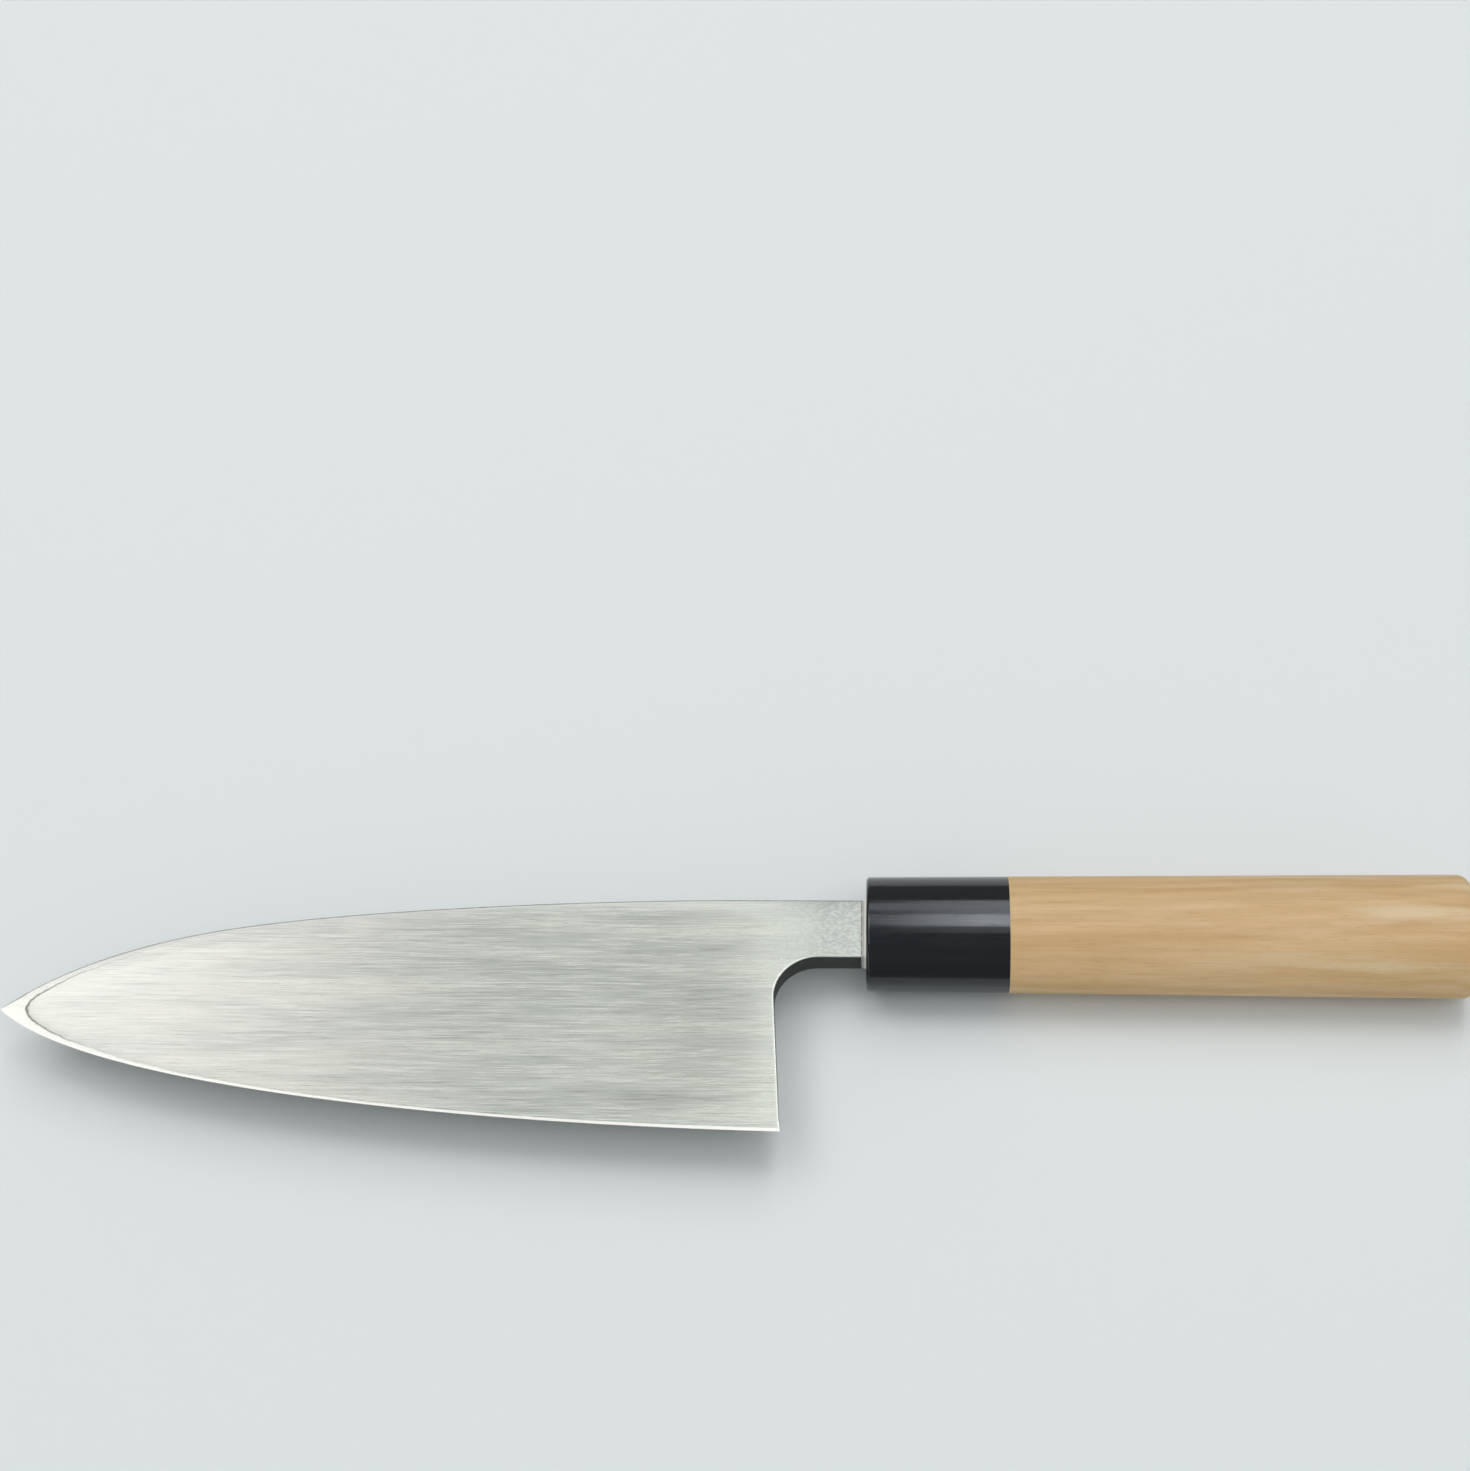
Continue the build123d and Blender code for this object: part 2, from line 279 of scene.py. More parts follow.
def make_steel(name, bright, dark, add_skin):
    material, tree = start_material(name)
    lines, bands = brushed_lines(tree)
    tint = brushed_tint(tree, bright, dark, lines, bands)
    neck_share, blotch = neck_skin(tree)
    tint = mix(tree, neck_share, tint, blotch)
    rough = spread(tree, lines, 0.35, 0.65, rough_low, rough_high)
    rough = mix(tree, neck_share, rough, grey_level(neck_rough))
    tint, rough = add_skin(tree, tint, rough)
    relief = add_node(tree, "ShaderNodeBump", {
        "Height": lines,
        "Strength": scratch_strength,
        "Distance": scratch_depth * mm,
    })
    across = add_node(tree, "ShaderNodeTangent", direction_type="RADIAL", axis="X")
    shader = add_node(tree, "ShaderNodeBsdfPrincipled", {
        "Base Color": tint,
        "Metallic": 1.0,
        "Roughness": rough,
        "Anisotropic": anisotropy,
        "Tangent": across.outputs["Tangent"],
        "Normal": relief.outputs["Normal"],
    })
    finish_material(tree, shader)
    return material


print("roughness of the brushed metal:", rough_low, rough_high)

# %% [markdown]
# Two marks on the steel follow the shape and not the place: the honed strip along the edge,
# whose paler tone is partly its own polish and partly a painted highlight, and the thin stain
# where the hollow begins, which fades away from the tip. How far each point is from them, in mm,
# is stored in the mesh's points as "honed_and_sheen" and "rim".

# %% Hard steel, hollow ground and brushed
stain_waver = 0.12
stain_reach = (0.05, 0.24)
honed_blur = 0.03
honed_rough = 0.42


def add_marks(tree, tint, rough):
    rim = add_node(tree, "ShaderNodeAttribute", attribute_name="rim").outputs["Fac"]
    cloud = pattern(tree, (1.2, 1.2, 1.2), detail=2)
    waver = spread(tree, cloud, 0.3, 0.7, -stain_waver, stain_waver)
    away = combine(tree, "ABSOLUTE", combine(tree, "ADD", rim, waver), 0)
    line = spread(tree, away, *stain_reach, 1, 0)
    near_tip = share_along(tree, -160, -147, 0.85, 0.12)
    tint = mix(tree, combine(tree, "MULTIPLY", line, near_tip), tint, colour("#5f5c56"))
    honed_and_sheen = add_node(tree, "ShaderNodeAttribute", attribute_name="honed_and_sheen").outputs["Fac"]
    honed_and_sheen = spread(tree, honed_and_sheen, -honed_blur, honed_blur)
    # paler tone of the honed strip: partly its own polish, partly a painted highlight
    tint = mix(tree, honed_and_sheen, tint, colour("#cfcfcb"))
    return tint, mix(tree, honed_and_sheen, rough, grey_level(honed_rough))


hard_steel = make_steel("hard_steel_brushed", "#c8cdc7", "#afb3ad", add_marks)
print("made:", hard_steel.name)

# %% [markdown]
# The body is soft iron, forge-welded to the steel. On top only a stretch of the neck is iron, and
# it was brushed in one go with the steel. Underneath, stones bite deeper into the soft metal and
# leave a hazy grey, which sets it off from the bright steel along the bevel: the haze comes in
# with depth below the back.

# %% Soft iron, stoned to a haze
haze_size = (20, 2.5, 2.5)
haze_heights = (14.0, 15.0)
haze_rough = 0.48


def add_haze(tree, tint, rough):
    cloud = pattern(tree, haze_size, detail=4, offset=(2, 6, 1))
    haze = mix(tree, spread(tree, cloud, 0.35, 0.65), colour("#8b8f8c"), colour("#9da19d"))
    low, high = [height * mm for height in haze_heights]
    share = spread(tree, place_on(tree, "Z"), low, high, 0.85, 0)
    return mix(tree, share, tint, haze), mix(tree, share, rough, grey_level(haze_rough))


soft_iron = make_steel("soft_iron_stoned", "#c5c9c3", "#acb0aa", add_haze)
print("made:", soft_iron.name)

# %% [markdown]
# The walls of the heel, the choil and the neck are left as they came from the fire, under a skin
# of black iron oxide. It is a dull, slightly greenish black, with no scratches to spread light.

# %% Forge scale on the narrow walls
forge_scale, tree = start_material("forge_scale_black")
crust = pattern(tree, (1.5, 1.5, 1.5), detail=4)
shader = add_node(tree, "ShaderNodeBsdfPrincipled", {
    "Base Color": mix(tree, crust, colour("#262b29"), colour("#333836")),
    "Roughness": 0.6,
    "Specular IOR Level": 0.3,
})
finish_material(tree, shader)
print("made:", forge_scale.name)

# %% [markdown]
# The collar is black buffalo horn, shaped to the handle's section and polished. Horn is keratin:
# nearly black, with faint smoky brown streaks along its growth, and a gloss like hard plastic.
# Its index of refraction is about 1.55, and 1.6 is used here, with the gloss tinted a trace
# towards blue. The polish is drawn with a roughness of 0.09 to 0.17.

# %% Buffalo horn, polished
horn_streak_size = (30, 2.5, 2.5)
horn, tree = start_material("buffalo_horn_polished")
smoke = pattern(tree, horn_streak_size, detail=4, distortion=0.6)
smoke_share = spread(tree, smoke, 0.45, 0.75)
polish = pattern(tree, (6, 0.4, 0.4), detail=2)
shader = add_node(tree, "ShaderNodeBsdfPrincipled", {
    # the horn is near black; the faint blue in its ground tone is a painted reflection of the room
    "Base Color": mix(tree, smoke_share, colour("#05080c"), colour("#100f0f")),
    "Roughness": spread(tree, polish, 0.3, 0.7, 0.09, 0.17),
    "IOR": 1.6,
    "Specular Tint": colour("#f2f9ff"),
})
finish_material(tree, shader)
print("horn streaks, mm:", horn_streak_size)

# %% [markdown]
# The handle is magnolia, a pale, light and even wood, planed, sanded and left bare. What the eye
# gets is a soft honey colour, growth rings as broad faint bands that run nearly along the handle,
# and very fine fibres. The rings are circles round the tree's heart, so they are drawn as rings
# about a line that lies beside the handle and leans a little to it: the leaning is what draws
# them out into long arches on the surface. The wave texture repeats every 2 pi / 20 of its own
# units, so its scale follows from the ring's real width.

# %% Growth rings of the magnolia
ring_width = 3.4
heart_place = (0, 46, -58)
heart_lean = (0, math.radians(2.6), math.radians(-3.2))
wave_turn = 2 * math.pi / 20
wood, tree = start_material("magnolia_sanded")
place = add_node(tree, "ShaderNodeTexCoord").outputs["Object"]
turned = add_node(tree, "ShaderNodeMapping", {
    "Vector": place,
    "Location": heart_place,
    "Rotation": heart_lean,
    "Scale": [1 / mm] * 3,
})
rings = add_node(tree, "ShaderNodeTexWave", {
    "Vector": turned.outputs["Vector"],
    "Scale": wave_turn / ring_width,
    "Distortion": 3.0,
    "Detail": 2.0,
    "Detail Scale": 0.35,
    "Detail Roughness": 0.5,
}, wave_type="RINGS", rings_direction="X")
print("ring width, mm:", ring_width)

# %% [markdown]
# Over the rings lie a paler flame, fine fibres, darker stripes, pale patches that are partly the
# wood's figure and partly a painted sheen and grow stronger toward the butt, and short dark
# pores. Each is a noise stretched along the grain and mixed in where it is strong, because wood
# shows all of them at once and at different sizes.

# %% Magnolia, sanded and bare
fibre_size = (14, 0.22, 0.22)
fibres = pattern(tree, fibre_size, detail=4, roughness=0.7)
flame = pattern(tree, (60, 9, 9), detail=2)
wood_tint = mix(tree, rings.outputs["Fac"], colour("#ccac80"), colour("#c09e6e"))
wood_tint = mix(tree, spread(tree, flame, 0.35, 0.7, 0, 0.55), wood_tint, colour("#d0b387"))
wood_tint = mix(tree, spread(tree, fibres, 0.45, 0.8, 0, 0.6), wood_tint, colour("#b28d59"))
stripes = pattern(tree, (34, 1.5, 1.5), detail=3, offset=(4, 0, 2))
wood_tint = mix(tree, spread(tree, stripes, 0.5, 0.7, 0, 0.5), wood_tint, colour("#b59163"))
# pale patches toward the butt: partly the wood's figure, partly a painted sheen
pale_figure_and_sheen = pattern(tree, (40, 5, 5), detail=4, offset=(1, 3, 0))
toward_butt = share_along(tree, 80, 150, 0.1, 0.7)
figure_and_sheen_share = combine(tree, "MULTIPLY", spread(tree, pale_figure_and_sheen, 0.48, 0.66), toward_butt)
wood_tint = mix(tree, figure_and_sheen_share, wood_tint, colour("#d4c09d"))
pores = pattern(tree, (4, 0.17, 0.17), detail=1, offset=(0, 5, 0))
wood_tint = mix(tree, spread(tree, pores, 0.64, 0.74, 0, 0.35), wood_tint, colour("#8f6d45"))
wood_relief = add_node(tree, "ShaderNodeBump", {
    "Height": fibres,
    "Strength": 0.25,
    "Distance": 0.05 * mm,
})
shader = add_node(tree, "ShaderNodeBsdfPrincipled", {
    "Base Color": wood_tint,
    "Roughness": 0.55,
    "IOR": 1.5,
    "Normal": wood_relief.outputs["Normal"],
})
finish_material(tree, shader)
print("fibres, mm:", fibre_size)

# %% [markdown]
# The gap between the neck and the collar's mouth is closed with a bead of pale resin, pressed in
# soft and wiped smooth. It is matt and slightly uneven in tone. Where it meets the neck a broken
# dark line is painted shadow in the groove, and where it meets the collar it has a pale line.

# %% Seal resin, wiped
resin, tree = start_material("seal_resin_wiped")
cloud = pattern(tree, (1.2, 1.2, 1.2), detail=3)
resin_tint = mix(tree, cloud, colour("#c2c5bf"), colour("#a9aca5"))
# painted shadow: a broken dark line in the groove where the resin meets the neck
groove_shadow = spread(tree, pattern(tree, (2.5, 1.5, 1.5), detail=3, offset=(0, 2, 4)), 0.4, 0.52)
groove_shadow = combine(tree, "MULTIPLY", groove_shadow, share_along(tree, 29.2, 29.45, 0.8, 0))
resin_tint = mix(tree, groove_shadow, resin_tint, colour("#5c605c"))
bright_line = share_along(tree, 29.7, 30.0, 0, 1)
resin_tint = mix(tree, bright_line, resin_tint, colour("#e9e9e2"))
shader = add_node(tree, "ShaderNodeBsdfPrincipled", {
    "Base Color": resin_tint,
    "Roughness": 0.5,
    "IOR": 1.5,
})
finish_material(tree, shader)
print("made:", resin.name)

# %% [markdown]
# The blade is one outline with two surfaces on it. Everything follows from a few sizes: the
# blade's length and height, the flat back's height over the table, and how thick the steel is.
# The places come from the frame's own boxes, so the blade lies exactly where the frame has it.

# %% Sizes of the blade
blade_length = 180.0
blade_height = 58.3
back_z = 15.9
spine_thickness = 6.5
edge_left = 0.2
face_lean = math.tan(math.radians(2.0))
steel_depth = 1.7
neck_height = 14.9
neck_length = 17.8
heel_lean = 2.6
choil_radius = 10.0
tip_x = -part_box("handle_body")[1].x / mm
heel_x = tip_x + blade_length
shoulder_x = heel_x + neck_length
spine_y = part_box("blade_body")[1].y / mm
edge_y = spine_y - blade_height
belly_y = spine_y - neck_height
print("tip and heel, mm:", round(tip_x, 2), round(heel_x, 2))

# %% [markdown]
# The outline is four Bezier curves: two along the spine, one along the cutting edge, and one
# for the line where the wide bevel underneath would come out if it ran the blade's whole
# thickness. Their points are shares of the blade's length forward from the heel and of its
# height down from the spine. Each curve is sampled once, and read by its place along the knife.


# %% Outline curves
def blade_point(along, down):
    return np.array((heel_x - blade_length * along, spine_y - blade_height * down))


def bezier(points, count=600):
    points = np.array(points, float)
    t = np.linspace(0, 1, count)[:, None]
    weights = [(1, 3, 3, 1)[k] * t**k * (1 - t) ** (3 - k) for k in range(4)]
    return sum(weight * point for weight, point in zip(weights, points))


tip = blade_point(1.0, 0.505)
spine_fore = [tip, *[blade_point(*s) for s in ((0.894, 0.226), (0.745, 0.149), (0.666, 0.114))]]
spine_rear = [spine_fore[-1], *[blade_point(*s) for s in ((0.498, 0.040), (0.218, 0), (0.059, 0))]]
edge_points = [tip, *[blade_point(*s) for s in ((0.889, 0.811), (0.446, 0.972), (0, 1))]]
root_shares = ((0.903, 0.198), (0.829, 0.401), (0.437, 0.544), (0, 0.571))
root_points = [blade_point(*s) for s in root_shares]
spine_line = np.vstack([bezier(spine_fore), bezier(spine_rear)[1:], [(shoulder_x, spine_y)]])


def spine_at(x):
    return np.interp(x, spine_line[:, 0], spine_line[:, 1])


edge_line = bezier(edge_points)


def edge_at(x):
    return np.interp(x, edge_line[:, 0], edge_line[:, 1])


print("spine and edge at mid blade, mm:", spine_at(-80.0).round(2), edge_at(-80.0).round(2))

# %% [markdown]
# The bevel is ruled: straight lines run in from the cutting edge, and each point of them is as
# deep as its share of the way to the root line. So the line at any one depth is again a Bezier
# curve between edge and root, carried on straight beyond the tip. Two lines on the bevel matter:
# the weld line, where it cuts through the steel into the iron, and the ridge, where it meets the
# front face. The face itself leans a little and thins towards the tip.

# %% Bevel, weld line and ridge
full_depth = spine_thickness - edge_left
weld_share = (steel_depth - edge_left) / full_depth
taper_shares = ((1, 0.36), (0.88, 0.7), (0.5, 1), (0, 1))
taper_line = bezier([(heel_x - blade_length * along, deep) for along, deep in taper_shares])


def bevel_line(share):
    points = [edge + (root - edge) * share for edge, root in zip(edge_points, root_points)]
    curve = bezier(points)
    ahead = points[0] + (points[0] - points[1])
    return np.vstack([ahead, curve])


depth_shares = np.linspace(0, 1.15, 116)


def bevel_table(columns):
    lines = [bevel_line(share) for share in depth_shares]
    return np.array([np.interp(columns, line[:, 0], line[:, 1]) for line in lines])


def face_z(x, y):
    thickness = spine_thickness * np.interp(x, taper_line[:, 0], taper_line[:, 1])
    return back_z - thickness + (spine_y - y) * face_lean


def bevel_z(share):
    return back_z - edge_left - full_depth * share


print("weld line at share", round(weld_share, 3))

# %% [markdown]
# The hollow of the back is dished by the grinding wheel and leaves a flat rim, which the last
# flat stone polishes. Its floor follows the distance from the rim: steep beside it, level in the
# middle, and fading out towards the neck. The distances to spine and edge are joined by a soft
# minimum, which rounds the hollow's nose as the wheel does. Near the tip a faint wave in the
# rim's width is the hand's. Distances are counted across the knife, so toward the tip, where the
# outline slants, they are shortened. Along the cutting edge the last 0.2 to 0.8 mm of the rim
# lean down by six degrees: this is the honed strip that catches the lamp.

# %% Height of the back face
hollow_slope = 0.037
rim_lip = 0.03
lip_width = 0.35
nose_round = 3.3
least_half = 4.0
rim_wave = 0.13
hollow_fade = (4, 44)
honed_lean = math.tan(math.radians(6.0))


def soft_step(x, start, end):
    t = np.clip((x - start) / (end - start), 0, 1)
    return t * t * (3 - 2 * t)


def wave(x, y):
    return 0.5 * np.sin(x / 1.9 + 0.7 * np.sin(y / 2.3)) + 0.5 * np.sin(x / 0.83 - y / 1.3)


def slant_at(x):
    return np.interp(x, (tip_x, tip_x + 40, tip_x + 110), (0.84, 0.94, 1.0))


def rim_inset(x, y):
    top = spine_at(x)
    low = edge_at(x)
    slant = slant_at(x)
    from_tip = x - tip_x
    to_spine = (top - y) * slant - np.interp(from_tip, (0, 25, 40), (1.7, 1.5, 0.9))
    to_edge = (y - low) * slant - np.interp(from_tip, (0, 32, 60), (1.75, 1.0, 0.8))
    inward = -nose_round * np.logaddexp(-to_spine / nose_round, -to_edge / nose_round)
    return inward + rim_wave * wave(x, y) * (1 - soft_step(x, tip_x + 25, tip_x + 45))


def honed_reach(x, y):
    strip_width = np.interp(x - tip_x, (0, 60, 170), (0.16, 0.42, 0.75))
    return strip_width - (y - edge_at(x)) * slant_at(x)


def back_drop(x, y):
    inward = np.clip(rim_inset(x, y), 0, None)
    half = np.maximum((spine_at(x) - edge_at(x)) / 2, least_half)
    bowl = half * hollow_slope / 2 * (1 - np.clip(1 - inward / half, 0, 1) ** 2)
    lip = rim_lip * (1 - np.exp(-inward / lip_width))
    fade = soft_step(x, heel_x - hollow_fade[0], heel_x - hollow_fade[1])
    return (bowl + lip) * fade + np.clip(honed_reach(x, y), 0, None) * honed_lean


middle = (spine_at(-60.0) + edge_at(-60.0)) / 2
print("hollow at mid blade, mm:", back_drop(np.array([-60.0]), np.array([middle])).round(3))

# %% [markdown]
# Near its outline the blade needs two distances for each point: to the spine, and to the line
# made of the heel's wall, the round of the choil and the neck's belly. The first is measured
# across the knife and corrected for the spine's slope. The second is put together from two
# straight lines and an arc.

# %% Gaps to the outline
wall_slope = heel_lean / (belly_y - edge_y)
wall_angle = math.atan(wall_slope)
choil_run = choil_radius / math.tan((math.pi / 2 - wall_angle) / 2)
choil_y = belly_y - choil_run * math.cos(wall_angle)
choil_x = heel_x - heel_lean + choil_run
round_y = belly_y - choil_radius
spine_slope = np.gradient(spine_line[:, 1], spine_line[:, 0])


def spine_gap(x, y):
    slope = np.interp(x, spine_line[:, 0], spine_slope)
    return (spine_at(x) - y) / np.sqrt(1 + slope**2)


def wall_gap(x, y):
    wall = (heel_x - wall_slope * (y - edge_y) - x) * math.cos(wall_angle)
    bend = np.hypot(x - choil_x, y - round_y) - choil_radius
    past_wall = (x - choil_x) * math.sin(wall_angle) < (y - round_y) * math.cos(wall_angle)
    return np.where(x > choil_x, y - belly_y, np.where(past_wall, bend, wall))


print("choil starts at y, mm:", round(choil_y, 2))

# %% [markdown]
# How deep the bevel is at a place is found backwards: which line of equal depth passes through
# it. To find that afresh for each point would be slow, so the lines are sampled once at even
# steps along the knife, and a point is looked up between the two nearest samples. The underside
# of the blade is the higher one of the bevel and the leaning face.

# %% Bevel at any place
lookup_step = 0.4
lookup_x = np.arange(tip_x - 1, heel_x + 0.5, lookup_step)
lookup_y = bevel_table(lookup_x)


def bevel_share(x, y):
    place = np.clip((np.ravel(x) - lookup_x[0]) / lookup_step, 0, len(lookup_x) - 1.001)
    left = place.astype(int)
    part = place - left
    lines = lookup_y[:, left] * (1 - part) + lookup_y[:, left + 1] * part
    found = [np.interp(at, lines[:, k], depth_shares) for k, at in enumerate(np.ravel(y))]
    return np.reshape(found, np.shape(x))


def underside(x, y):
    return np.maximum(face_z(x, y), bevel_z(bevel_share(x, y)))


print("samples of the bevel:", lookup_y.shape)

# %% [markdown]
# Three edges of the blade are broken with a stone: the spine, the heel's wall with the round of
# the choil, and the neck's belly. A corner is really round here, because the bright line that
# the eye reads as an edge is the lamp seen in that round. What is left of the thickness near the
# cutting edge sets the radius there. Inside the spine the back turns down over 4 mm, by up to
# 7.5 degrees. Along the other two a narrow flat is stoned at that same angle.

# %% Broken corners
arris_radius = 0.28
wall_break = 0.2
turn_width = 4.0
corner_slope = math.tan(math.radians(7.5))


def rounding(distance, radius):
    inside = np.clip(radius - distance, 0, radius)
    return radius - np.sqrt(radius**2 - inside**2)


def spine_turn(x, y):
    inside = np.clip(turn_width - spine_gap(x, y), 0, None)
    return corner_slope / (2 * turn_width) * inside**2 * soft_step(x, tip_x, tip_x + 30)


def arris(x, y):
    thickness = back_z - underside(x, y)
    radius = np.clip(thickness / 4, 0.02, arris_radius)
    break_width = np.clip(thickness / 3, 0.05, wall_break)
    broken = np.clip(break_width - wall_gap(x, y), 0, None) * corner_slope
    return rounding(spine_gap(x, y), radius) + broken + rounding(wall_gap(x, y), radius / 2)


print("corner radius, mm:", arris_radius)

# %% [markdown]
# What is left to name are the steel's top, the weld between steel and iron, which wavers by up
# to 0.13 mm, and the undersides of the two pieces. Each is a height over the table for any
# place, so both pieces are built from the same surfaces and meet exactly.

# %% Surfaces of the steel and the iron
weld_long_wave = 0.08
weld_short_wave = 0.05


def steel_top(x, y):
    return back_z - back_drop(x, y) - spine_turn(x, y) - arris(x, y)


def weld_z(x, y):
    waves = (weld_long_wave * np.sin(x / 7), weld_short_wave * np.sin(x / 3.1 + 1))
    return back_z - steel_depth - waves[0] - waves[1]


def steel_under(x, y):
    return np.maximum(weld_z(x, y), bevel_z(bevel_share(x, y)))


def iron_under(x, y):
    return underside(x, y) + arris(x, y)


print("weld height at mid blade, mm:", round(float(weld_z(-80.0, 0.0)), 2))

# %% [markdown]
# Both pieces of the blade are built on the same columns, which run from the spine to the edge
# and lean with the heel's wall. They crowd toward the tip, where the outline turns fast, and at
# the heel, where the corner is broken.

# %% Columns of the blade
strip_offsets = np.array([0.6, 0.3, 0.12, 0.04, 0])
columns = np.concatenate([
    tip_x + 0.35 + 34 * np.linspace(0, 1, 90) ** 1.25,
    np.arange(tip_x + 35.1, heel_x - 1, 0.85),
    heel_x - strip_offsets,
])
inner_column = len(columns) - len(strip_offsets)
wall_weight = soft_step(columns, heel_x - 60, heel_x)
edge_row = edge_at(columns)


def column_x(y):
    return columns[:, None] - wall_slope * wall_weight[:, None] * (y - edge_row[:, None])


print("columns:", len(columns))

# %% [markdown]
# Along a column the rows crowd at the outline, at the weld line and at the ridge, so each of
# these is a clean line of the mesh. The rows are measured in millimetres from the ends of their
# stretch, and shrink with it near the point.


# %% Rows of the blade
def rows_between(high, low, first, count, last):
    high, low = np.broadcast_arrays(np.array(high, float), np.array(low, float))
    length = (high - low)[:, None]
    first, last = np.array(first), np.array(last)
    shrink = np.minimum(1, length / (2 * (first[-1] + last[0])))
    inner = np.linspace(0, 1, count + 2)[1:-1]
    start, stop = first[-1] * shrink, length - last[0] * shrink
    middle_rows = start + (stop - start) * inner
    return high[:, None] - np.hstack([first * shrink, middle_rows, length - last * shrink])


spine_row = spine_at(columns)
spine_row = spine_at(column_x(spine_row[:, None])[:, 0])
levels = bevel_table(columns)
weld_depth = (back_z - weld_z(columns, 0) - edge_left) / full_depth
weld_row = np.array([np.interp(d, depth_shares, levels[:, k]) for k, d in enumerate(weld_depth)])
over_face = bevel_z(depth_shares)[:, None] - face_z(columns[None], levels)
ridge_depth = np.array([np.interp(0, -over_face[:, k], depth_shares) for k in range(len(columns))])
ridge_row = np.array([np.interp(d, depth_shares, levels[:, k]) for k, d in enumerate(ridge_depth)])
weld_row = np.minimum(weld_row, spine_row)
ridge_row = np.clip(ridge_row, weld_row, spine_row)
choil_share = (choil_y - edge_y) / (spine_y - edge_y)
level_row = edge_row + choil_share * (spine_row - edge_row)
spine_offsets = (0, 0.03, 0.07, 0.13, 0.2, 0.28, 0.45, 0.7, 1.0, 1.4, 1.9)
edge_offsets = (1.3, 1.05, 0.8, 0.65, 0.5, 0.35, 0.2, 0.1, 0.04, 0)
upper = (spine_offsets, 20, (0.6, 0.3, 0))
upper_rows = len(upper[0]) + upper[1] + len(upper[2])


def blade_rows(kind):
    if kind == "steel":
        level = np.maximum(level_row, weld_row + 0.25 * (spine_row - weld_row))
        stretches = [
            rows_between(level, weld_row, (0.3, 0.6), 24, (0.3, 0)),
            rows_between(weld_row, edge_row, (0.05, 0.15, 0.3), 9, edge_offsets),
        ]
    else:
        level = np.maximum(level_row, ridge_row + 0.15 * (spine_row - ridge_row))
        stretches = [
            rows_between(level, ridge_row, (0.3, 0.6), 6, (0.3, 0.1, 0)),
            rows_between(ridge_row, weld_row, (0.1, 0.3), 12, (0.3, 0)),
        ]
    return np.hstack([rows_between(spine_row, level, *upper), *stretches])


print("rows of the steel:", blade_rows("steel").shape[1])

# %% [markdown]
# Past the heel the columns fan round the choil. A narrow strip follows the wall, the round and
# the belly, because the broken corner there needs lines that run along it. The steel stops on a
# slant across the neck, and the fan ends there.

# %% Fan round the choil
steel_end_gap = 8.0
steel_end_slant = 3.0
weld_end_x = (shoulder_x - (steel_end_gap + steel_end_slant), shoulder_x - steel_end_gap)
bend_turns = np.linspace(math.pi + wall_angle, math.pi / 2, 36)[1:]


def spread_rows(tops, feet):
    y = rows_between(tops[:, 1], feet[:, 1], *upper)
    part = (tops[:, 1:] - y) / (tops[:, 1:] - feet[:, 1:])
    return np.stack([tops[:, :1] + (feet[:, :1] - tops[:, :1]) * part, y], -1)


def fan(blade):
    first = blade[inner_column, :upper_rows]
    strip = [blade[inner_column:, upper_rows - 1]]
    reach = choil_radius + strip_offsets
    for turn in bend_turns:
        x = choil_x + reach * math.cos(turn)
        y = round_y + reach * math.sin(turn)
        strip.append(np.stack([x, y], -1))
    slant = (weld_end_x[1] - weld_end_x[0]) / neck_height
    for share in (0.33, 0.66, 1):
        x = choil_x + (weld_end_x[1] - choil_x) * share
        strip.append(np.stack([x - slant * share * strip_offsets, belly_y + strip_offsets], -1))
    strip = np.array(strip)
    along = np.concatenate([[0], np.cumsum(np.hypot(*np.diff(strip[:, 0], axis=0).T))])
    top_x = first[0, 0] + (weld_end_x[0] - first[0, 0]) * along / along[-1]
    tops = np.stack([top_x, spine_at(top_x)], -1)
    return strip, spread_rows(tops, strip[:, 0])


print("columns round the choil:", len(bend_turns))

# %% [markdown]
# From the end of the steel the columns straighten out along the neck, as far as the shoulder.
# Then the same steps lay out both pieces, as blocks of points: the blade, the strip by the heel,
# the fan, the strip round the choil, and the neck.

# %% Neck, and the blocks of both pieces
neck_columns = 14


def neck(fan_end, strip_end):
    share = np.linspace(0, 1, neck_columns)[:, None]
    feet = strip_end[0] + ((shoulder_x, strip_end[0][1]) - strip_end[0]) * share
    tops = fan_end[0] + (np.array((shoulder_x, spine_y)) - fan_end[0]) * share
    ends = np.stack([np.full(len(strip_offsets), shoulder_x), strip_end[:, 1]], -1)
    strip = np.array([strip_end + (ends - strip_end) * part for part in share])
    return strip, spread_rows(tops, feet)


blocks = {}
for kind in ("steel", "iron"):
    y = blade_rows(kind)
    blade = np.stack([column_x(y), y], -1)
    strip, fanned = fan(blade)
    neck_strip, neck_block = neck(fanned[-1], strip[-1])
    blocks[kind] = {
        "blade": blade[:inner_column + 1],
        "heel": blade[inner_column:, upper_rows - 1:],
        "fan": fanned,
        "strip": strip,
        "neck": neck_block,
        "neck_strip": neck_strip,
    }
    print(kind, {name: block.shape[:2] for name, block in blocks[kind].items()})

# %% [markdown]
# A piece is sewn from sheets of quads: its top and its underside over each block, and walls that
# join the two along the outline. Where the sheets meet, their points coincide and are merged,
# which leaves one closed skin, and faces that merging has left without width are dissolved.

# %% Sewing sheets into a skin
merge_within = 0.0015
needle_below = 0.0005


def add_point(build, place):
    return build.verts.new([value * mm for value in place])


